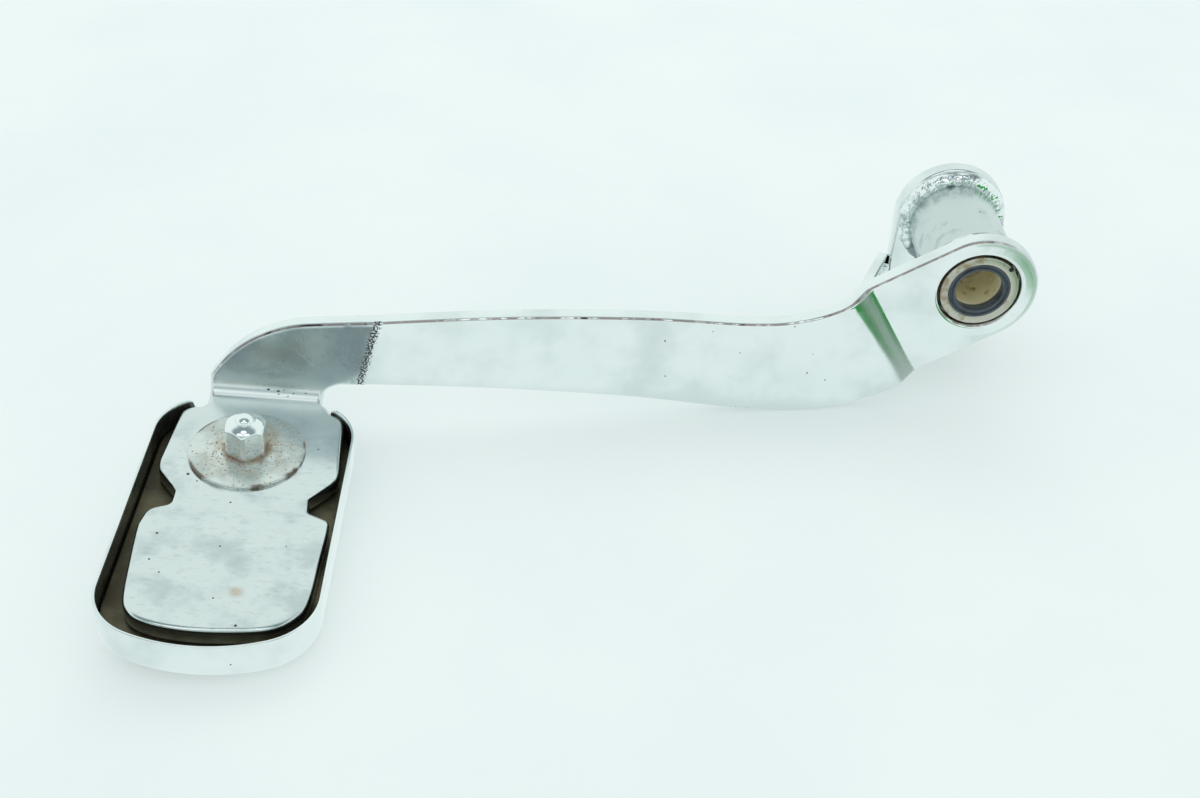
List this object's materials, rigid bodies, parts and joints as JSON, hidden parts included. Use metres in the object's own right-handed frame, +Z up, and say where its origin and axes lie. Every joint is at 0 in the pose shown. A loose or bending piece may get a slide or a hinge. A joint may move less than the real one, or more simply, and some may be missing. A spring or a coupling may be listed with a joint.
{
  "type": "foot brake pedal",
  "caption": "Foot brake pedal with a flat folded arm, a rubber pad in a metal cup, and a bushed pivot tube with an inner lever.",
  "frame": {"origin": "centre of the pivot bore, halfway between the outer faces of the arm's eye and the inner lever", "axes": "+Y along the pivot bore from the arm's eye to the inner lever, +X from the pad towards the pivot and beyond, +Z up with the pad's face down on the floor"},
  "size_m": [0.3029, 0.1907, 0.0667],
  "materials": {
    "arm_chrome": "worn bright chrome plate, slightly pitted",
    "tube_steel": "bare turned steel with light stains",
    "lever_chrome": "worn chrome plate",
    "brace_chrome": "worn chrome plate",
    "weld_chrome": "plated weld bead, rough",
    "bush_bronze": "greasy bronze",
    "seal_rubber": "smooth dark rubber",
    "cup_chrome": "drawn sheet, plated",
    "backing_steel": "stained plain steel",
    "pad_rubber": "ribbed black rubber",
    "stud_steel": "plain threaded steel",
    "washer_steel": "dull zinc with rust specks",
    "nut_chrome": "bright acorn nut"
  },
  "bodies": {
    "root": {"pedal_arm": "arm_chrome", "pivot_tube": "tube_steel", "inner_lever": "lever_chrome", "brace_plate": "brace_chrome", "weld_front": "weld_chrome", "weld_rear": "weld_chrome", "weld_brace_strip": "weld_chrome", "weld_brace_lever": "weld_chrome", "front_bush": "bush_bronze", "rear_bush": "bush_bronze", "front_seal": "seal_rubber", "rear_seal": "seal_rubber", "pad_cup": "cup_chrome", "backing_plate": "backing_steel", "rubber_pad": "pad_rubber", "mounting_stud": "stud_steel", "large_washer": "washer_steel", "cap_nut": "nut_chrome"}
  },
  "joints": []
}
